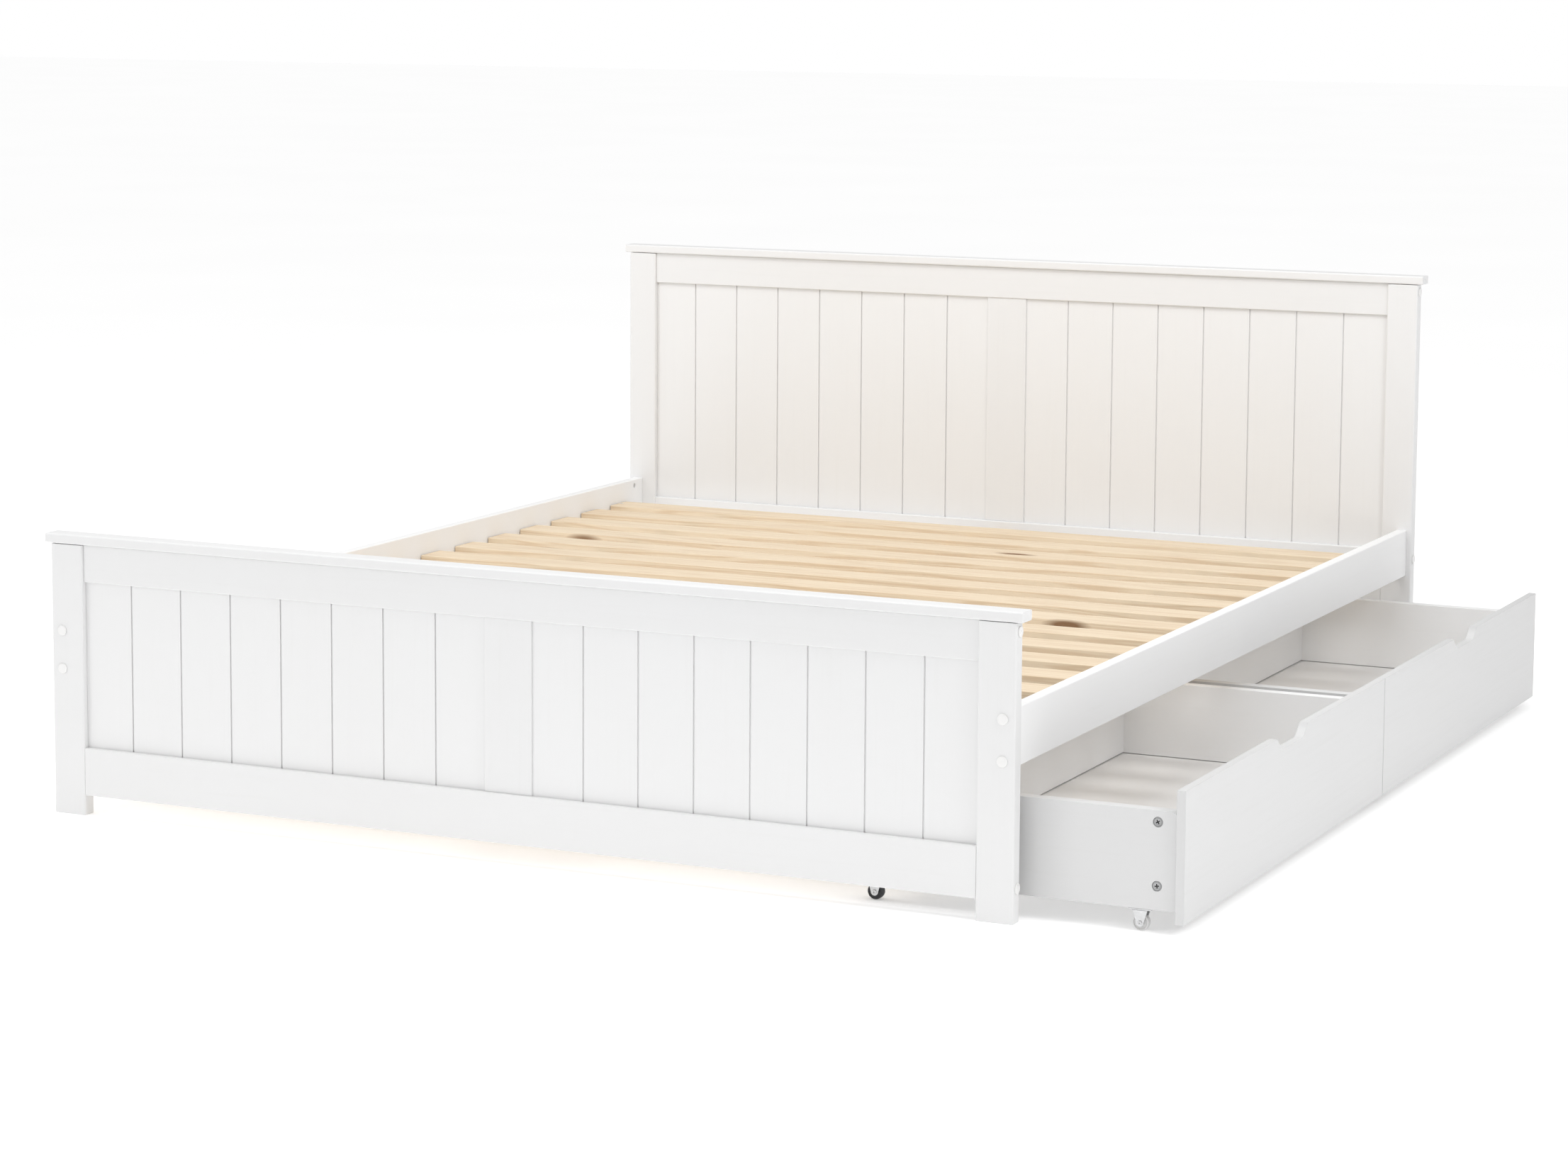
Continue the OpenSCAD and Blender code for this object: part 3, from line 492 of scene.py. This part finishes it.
def make_plug_caps():
    boxes = solids("plug_caps")
    size = boxes[0][1] - boxes[0][0]
    radius = max(size) / 2
    depth = min(size)
    height = 2.2 * MM
    mesh = plug_cap_mesh(radius, height, radius * 0.75, depth - height)
    places = []
    for box in boxes:
        size = box[1] - box[0]
        axis = min(range(3), key=lambda i: size[i])
        centre = middle(box)
        outward = Vector((0, 0, 0))
        outward[axis] = math.copysign(1, centre[axis])
        face = centre + outward * (depth / 2 - height)
        places.append(Matrix.Translation(face) @ facing(outward))
    name = "plug_cap_set"
    piece = add_piece(name, copies(mesh, places, name), "bed_frame", "white_plastic", "plug_caps")
    smooth_by_angle(piece, 50)


# ---- Cam locks ----


def cross_cutter(arm, width, depth):
    """A cross-shaped cutter whose arms taper as they go down; its faces carry a near-black zinc into
    the recess as painted shade.
    """
    above = 0.6 * MM
    taper = 0.62
    made = bmesh.new()
    long, short = arm / 2, width / 2
    quarter = [(long, -short), (long, short), (short, short)]
    outline = [Matrix.Rotation(math.radians(90 * turn), 2) @ Vector(corner)
               for turn in range(4) for corner in quarter]
    rings = []
    for height, share in ((above, 1), (-depth, taper)):
        rings.append([made.verts.new((x * share, y * share, height)) for x, y in outline])
    made.faces.new(rings[0])
    made.faces.new(rings[1][::-1])
    for i in range(len(outline)):
        made.faces.new([rings[0][i], rings[0][i - 1], rings[1][i - 1], rings[1][i]])
    bmesh.ops.recalc_face_normals(made, faces=made.faces)
    return to_mesh(made, "cross", SHADED_RECESS_ZINC)


def cam_lock_mesh(radius, depth):
    """A die-cast cam: a chamfered rim, a ring groove and a cross recess in its face, the recess
    coloured near-black as painted shade.
    """
    face = -0.25 * MM
    dish = face - 0.15 * MM
    groove = face - 0.45 * MM
    rim = face + 0.12 * MM
    chamfer = face - 0.5 * MM
    outline = [(0, dish), (radius * 0.42, dish), (radius * 0.50, face), (radius * 0.76, face)]
    outline += [(radius * 0.80, groove), (radius * 0.85, groove), (radius * 0.89, rim)]
    outline += [(radius * 0.93, rim), (radius, chamfer)]
    outline += [(radius, -depth), (0, -depth)]
    body = to_mesh(lathe(outline, 48), "cam", CAST_ZINC)
    return carve(body, cross_cutter(arm=7.6 * MM, width=1.9 * MM, depth=3.2 * MM))


def make_cam_locks(drawer):
    node = f"{drawer}_cam_locks"
    boxes = solids(node)
    size = boxes[0][1] - boxes[0][0]
    depth = size.y
    mesh = cam_lock_mesh(size.x / 2, depth)
    front = middle(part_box(f"{drawer}_front"))
    first_turn = 8
    next_turn = 23
    places = []
    for count, box in enumerate(boxes):
        centre = middle(box)
        outward = Vector((0, math.copysign(1, centre.y - front.y), 0))
        face = centre + outward * depth / 2
        # Each cam was turned home to a slightly different angle
        turn = Matrix.Rotation(math.radians(first_turn + next_turn * count), 4, "Z")
        places.append(Matrix.Translation(face) @ facing(outward) @ turn)
    name = f"{drawer}_cam_lock_set"
    piece = add_piece(name, copies(mesh, places, name), drawer, "zinc", node)
    smooth_by_angle(piece, 25)


# ---- Castors ----


def cheek_sheet(top, foot_radius, drop, bend):
    """One castor cheek as a sheet at Y = 0: bent out of the plate, tapered and round at its foot.
    Z = 0 is the underside of the plate and -drop is the axle."""
    rows = []
    bend_steps = 4
    for i in range(bend_steps + 1):
        a = math.radians(90 * i / bend_steps)
        flare = top / 2 + bend * (1 - math.sin(a)) * 0.8
        rows.append((flare, bend * (1 - math.sin(a)), -bend * (1 - math.cos(a))))
    leg_steps = 7
    for i in range(1, leg_steps + 1):
        share = i / leg_steps
        half = top / 2 + (foot_radius - top / 2) * share
        rows.append((half, 0, -bend - (drop - bend) * share))
    # The foot stops short of a half circle, so its last row keeps some width
    foot_steps = 8
    for i in range(1, foot_steps + 1):
        a = math.radians(88 * i / foot_steps)
        rows.append((foot_radius * math.cos(a), 0, -drop - foot_radius * math.sin(a)))
    made = bmesh.new()
    columns = 8
    grid = []
    for half, y, z in rows:
        grid.append([made.verts.new((half * (2 * c / columns - 1), y, z)) for c in range(columns + 1)])
    for upper, lower in zip(grid, grid[1:]):
        for c in range(columns):
            made.faces.new([upper[c], lower[c], lower[c + 1], upper[c + 1]])
    return made


def thicken(made, thickness):
    """Turns a sheet into a solid of that thickness, grown along its normals."""
    bmesh.ops.recalc_face_normals(made, faces=made.faces)
    bmesh.ops.solidify(made, geom=made.faces[:], thickness=thickness)
    bmesh.ops.recalc_face_normals(made, faces=made.faces)
    return made


def plate_mesh(length, width, thickness, corner):
    """A flat plate with round corners, its top face at Z = 0."""
    made = bmesh.new()
    ring = []
    for x, y, start in ((1, 1, 0), (-1, 1, 90), (-1, -1, 180), (1, -1, 270)):
        ring += arc(x * (length / 2 - corner), y * (width / 2 - corner), corner, start, start + 90, 5)
    bottom = [made.verts.new((x, y, -thickness)) for x, y in ring]
    face = made.faces.new(bottom)
    grown = bmesh.ops.extrude_face_region(made, geom=[face])
    for item in grown["geom"]:
        if isinstance(item, bmesh.types.BMVert):
            item.co.z += thickness
    bmesh.ops.recalc_face_normals(made, faces=made.faces)
    square = [e for e in made.edges if e.calc_face_angle(0) > math.radians(69)]
    bmesh.ops.bevel(made, geom=square, offset=0.3 * MM, segments=2, affect="EDGES", profile=0.5)
    return made


def bracket_mesh(size, axle_drop, cheek_y):
    """A pressed steel castor fork: the plate and its two cheeks. Z = 0 is the plate's top."""
    thickness = 2 * MM
    cheek_thickness = 1.6 * MM
    corner = 3 * MM
    cheek_top = size.x * 0.60
    foot_radius = 6 * MM
    bend = 1.4 * MM
    made = plate_mesh(size.x, size.y, thickness, corner)
    sheet = cheek_sheet(cheek_top, foot_radius, axle_drop - thickness, bend)
    thicken(sheet, cheek_thickness)
    cheek = to_mesh(sheet, "cheek")
    for side in (1, -1):
        part = cheek.copy()
        flip = Matrix.Scale(side, 4, (0, 1, 0))
        part.transform(Matrix.Translation((0, side * cheek_y, -thickness)) @ flip)
        if side < 0:
            part.flip_normals()
        made.from_mesh(part)
        bpy.data.meshes.remove(part)
    bpy.data.meshes.remove(cheek)
    return to_mesh(made, "bracket", ZINC)


def make_brackets(drawer):
    node = f"{drawer}_castor_brackets"
    boxes = solids(node)
    size = boxes[0][1] - boxes[0][0]
    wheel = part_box(f"{drawer}_wheel_1")
    drop = boxes[0][1].z - middle(wheel).z
    side_play = 0.7 * MM
    cheek_y = (wheel[1].y - wheel[0].y) / 2 + side_play
    mesh = bracket_mesh(size, drop, cheek_y)
    places = [Matrix.Translation((middle(box).x, middle(box).y, box[1].z)) for box in boxes]
    name = f"{drawer}_castor_bracket_set"
    piece = add_piece(name, copies(mesh, places, name), drawer, "zinc", node)
    edge = piece.modifiers.new("edge", "BEVEL")
    edge.width = 0.25 * MM
    edge.segments = 2
    edge.angle_limit = math.radians(50)
    smooth_by_angle(piece, 40)


def rivet_mesh(length, axle_radius, head_radius):
    """A tubular rivet along Z: a straight shank with rolled heads round an open end."""
    half = length / 2
    head = 1.0 * MM
    hole = 1.3 * MM
    hole_depth = 1.8 * MM
    lip = 0.5 * MM
    roll = (head_radius - hole) / 2
    outline = [(0, half - hole_depth), (hole * 0.9, half - hole_depth), (hole, half - lip)]
    for x, y in arc(0, 0, 1, 180, 0, 8):
        outline.append((hole + roll * (1 + x), half - lip + lip * y))
    outline += [(head_radius, half - head), (axle_radius, half - head)]
    lower = [(radius, -height) for radius, height in reversed(outline)]
    return to_mesh(lathe(outline + lower, 32), "rivet", ZINC)


def make_axles(drawer):
    node = f"{drawer}_castor_axles"
    boxes = solids(node)
    size = boxes[0][1] - boxes[0][0]
    mesh = rivet_mesh(length=size.y, axle_radius=2 * MM, head_radius=size.x / 2)
    places = [Matrix.Translation(middle(box)) @ facing((0, 1, 0)) for box in boxes]
    name = f"{drawer}_castor_axle_set"
    piece = add_piece(name, copies(mesh, places, name), drawer, "zinc", node)
    smooth_by_angle(piece, 40)


def wheel_outline(radius, width, bore):
    """One half of a wheel's section, from the bore out to the middle of the tread."""
    half = width / 2
    hub = radius * 0.42
    web = half - 1.3 * MM
    shoulder = radius - 2.4 * MM
    chamfer = 0.3 * MM
    hub_round = 0.4 * MM
    web_round = 0.6 * MM
    tread_round = 1.7 * MM
    tread_flat = 0.28 * MM
    points = [(bore, half - chamfer), (bore + chamfer, half)]
    points += arc(hub - hub_round, half - hub_round, hub_round, 90, 0, 3)
    points += arc(hub + web_round, web + web_round, web_round, 180, 270, 3)
    points += arc(shoulder - web_round, web + web_round, web_round, 270, 360, 3)
    points += [(shoulder + chamfer / 2, half - chamfer), (shoulder + 0.5 * MM, half)]
    points += arc(radius - tread_round, half - tread_round, tread_round, 84, 6, 6)
    points += [(radius, tread_flat), (radius, 0)]
    return points


def wheel_mesh(radius, width, bore, material):
    """A whole wheel about Z: the outline and its mirror image, turned as a closed ring."""
    upper = wheel_outline(radius, width, bore)
    lower = [(r, -z) for r, z in reversed(upper[:-1])]
    return to_mesh(lathe(upper + lower, 64, closed=True), "wheel", material)


def make_wheels(drawer):
    bore = 2.05 * MM
    for number in WHEELS:
        node = f"{drawer}_wheel_{number}"
        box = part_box(node)
        size = box[1] - box[0]
        material, slot = (RUBBER, "rubber") if number in REAR_WHEELS else (NYLON, "nylon")
        mesh = wheel_mesh(size.z / 2, size.y, bore, material)
        mesh.transform(Matrix.Translation(middle(box)) @ facing((0, 1, 0)))
        piece = add_piece(f"{node}_tyre", mesh, node, slot, node)
        smooth_by_angle(piece, 40)


# ---- Slat straps ----


def strap_mesh(box, slats):
    """A woven tape stapled under each slat, hanging a little between them."""
    low, high = box
    thickness = high.z - low.z
    sag = 2.2 * MM
    press = 0.15 * MM
    columns = 6
    step = 6 * MM
    made = bmesh.new()
    rows = []
    y = low.y
    while y < high.y + SAME_PLACE:
        drop = 0
        for one, after in zip(slats, slats[1:]):
            if one[1].y < y < after[0].y:
                share = (y - one[1].y) / (after[0].y - one[1].y)
                drop = sag * math.sin(math.pi * share)
        rows.append((y, high.z - press - drop))
        y += step
    grid = []
    for y, z in rows:
        line = []
        for c in range(columns + 1):
            across = 2 * c / columns - 1
            x = middle(box).x + across * (high.x - low.x) / 2
            line.append(made.verts.new((x, y, z - press * (1 - across * across))))
        grid.append(line)
    for one, after in zip(grid, grid[1:]):
        for c in range(columns):
            made.faces.new([one[c], one[c + 1], after[c + 1], after[c]])
    bmesh.ops.recalc_face_normals(made, faces=made.faces)
    if made.faces[0].normal.z < 0:
        bmesh.ops.reverse_faces(made, faces=made.faces)
    bmesh.ops.solidify(made, geom=made.faces[:], thickness=thickness * 0.7)
    bmesh.ops.recalc_face_normals(made, faces=made.faces)
    return made


def staple(made, centre):
    """A wire staple's crown across the tape, pressed into it."""
    half = 5 * MM
    wire = 0.45 * MM
    bend = 0.5 * MM
    leg = 1.2 * MM
    rings = []
    for x, lift in ((-half, leg), (-half + bend, 0), (half - bend, 0), (half, leg)):
        ring = []
        for a in (45, 135, 225, 315):
            offset = Vector((0, wire * math.cos(math.radians(a)), wire * math.sin(math.radians(a))))
            ring.append(made.verts.new(centre + Vector((x, 0, lift)) + offset))
        rings.append(ring)
    faces = [made.faces.new(rings[0][::-1]), made.faces.new(rings[-1])]
    for one, after in zip(rings, rings[1:]):
        for i in range(4):
            faces.append(made.faces.new([one[i - 1], one[i], after[i], after[i - 1]]))
    for face in faces:
        face.material_index = 1


def make_straps():
    slats = solids("slats")
    slats.sort(key=lambda box: box[0].y)
    for side, box in zip(("left", "right"), solids("slat_straps")):
        made = strap_mesh(box, slats)
        staple_z = box[0].z + 0.05 * MM
        for slat in slats:
            staple(made, Vector((middle(box).x, middle(slat).y, staple_z)))
        bmesh.ops.recalc_face_normals(made, faces=made.faces)
        mesh = to_mesh(made, f"slat_strap_{side}", WEBBING, ZINC)
        piece = add_piece(f"slat_strap_{side}", mesh, "bed_frame", "webbing", "slat_straps")
        smooth_by_angle(piece, 40)


# ---- Floor, light and camera ----


def make_floor():
    """A wide pale floor just under the feet, matt and faintly bright by itself."""
    half = 40
    gap = 0.05 * MM
    mesh = bpy.data.meshes.new("floor")
    z = cad_low.z - gap
    corners = [(-half, -half, z), (half, -half, z), (half, half, z), (-half, half, z)]
    mesh.from_pydata(corners, [], [(0, 1, 2, 3)])
    s = Shader("floor")
    cloud = s.noise(s.point(), scale=0.8, detail=2)
    color = s.mix(s.spread(cloud, 0, 1), shade(0.93), shade(0.95))
    mesh.materials.append(s.finish(color, s.spread(cloud, 0.85, 0.95), s.bump(cloud, 0.01 * MM)))
    s.bsdf.inputs["Specular IOR Level"].default_value = 0.0
    s.bsdf.inputs["Emission Color"].default_value = (1, 1, 1, 1)
    s.bsdf.inputs["Emission Strength"].default_value = FLOOR_GLOW
    floor = bpy.data.objects.new("floor", mesh)
    bpy.context.scene.collection.objects.link(floor)


def make_world():
    """A soft white surround, brighter overhead; the camera sees plain white."""
    world = bpy.data.worlds.new("studio")
    world.use_nodes = True
    bpy.context.scene.world = world
    tree = world.node_tree
    lit = tree.nodes["Background"]
    lit.inputs["Color"].default_value = (1, 1, 1, 1)
    place = tree.nodes.new("ShaderNodeTexCoord")
    parts = tree.nodes.new("ShaderNodeSeparateXYZ")
    tree.links.new(place.outputs["Generated"], parts.inputs[0])
    rise = tree.nodes.new("ShaderNodeMapRange")
    tree.links.new(parts.outputs["Z"], rise.inputs["Value"])
    rise.inputs["To Min"].default_value = SKY_LOW
    rise.inputs["To Max"].default_value = SKY_TOP
    tree.links.new(rise.outputs["Result"], lit.inputs["Strength"])
    seen = tree.nodes.new("ShaderNodeBackground")
    seen.inputs["Strength"].default_value = 1.0
    seen.inputs["Color"].default_value = (1, 1, 1, 1)
    rays = tree.nodes.new("ShaderNodeLightPath")
    choose = tree.nodes.new("ShaderNodeMixShader")
    tree.links.new(rays.outputs["Is Camera Ray"], choose.inputs[0])
    tree.links.new(lit.outputs[0], choose.inputs[1])
    tree.links.new(seen.outputs[0], choose.inputs[2])
    tree.links.new(choose.outputs[0], tree.nodes["World Output"].inputs["Surface"])


def make_light(name, place, target, size, power):
    """A soft rectangular lamp at place that faces target; power is in watts."""
    data = bpy.data.lights.new(name, "AREA")
    data.shape = "RECTANGLE"
    data.size, data.size_y = size
    data.energy = power
    light = bpy.data.objects.new(name, data)
    light.location = place
    light.rotation_mode = "QUATERNION"
    light.rotation_quaternion = (Vector(target) - Vector(place)).to_track_quat("-Z", "Y")
    light.visible_camera = False
    bpy.context.scene.collection.objects.link(light)


def make_camera():
    """The camera stands to the right of the footboard and looks along yaw, down by pitch."""
    position = Vector((2.9092, -6.2101, 1.3960))
    yaw, pitch, roll = (math.radians(angle) for angle in (-25.204, 6.862, 0.353))
    reach = math.cos(pitch)
    forward = Vector((math.sin(yaw) * reach, math.cos(yaw) * reach, -math.sin(pitch)))
    level = Vector((math.cos(yaw), -math.sin(yaw), 0))
    up = level.cross(forward)
    right = level * math.cos(roll) + up * math.sin(roll)
    above = up * math.cos(roll) - level * math.sin(roll)
    turn = Matrix((right, above, -forward)).transposed().to_4x4()
    data = bpy.data.cameras.new("camera")
    data.lens = 89.07
    data.sensor_width = 36
    data.shift_y = -0.1
    data.dof.use_dof = False
    data.clip_end = 200
    camera = bpy.data.objects.new("camera", data)
    camera.matrix_world = Matrix.Translation(position) @ turn
    bpy.context.scene.collection.objects.link(camera)
    bpy.context.scene.camera = camera


dress_end_boards()
dress_base()
dress_fasteners()
dress_drawers()
make_plug_caps()
make_straps()
for drawer in DRAWERS:
    make_cam_locks(drawer)
    make_brackets(drawer)
    make_axles(drawer)
    make_wheels(drawer)

make_floor()
make_world()
make_light("front", (-3.6, -4.8, 3.0), target=(-0.2, -1.0, 0.3), size=(2, 2), power=50)
make_light("overhead", (0, -0.9, 3.2), target=(0, 1.03, 0.5), size=(3, 1.2), power=42)
make_light("right", (3.3, -1.5, 2.3), target=(0.9, -0.6, 0.25), size=(1.2, 1.2), power=24)
make_camera()
bpy.context.scene.view_settings.view_transform = "Standard"
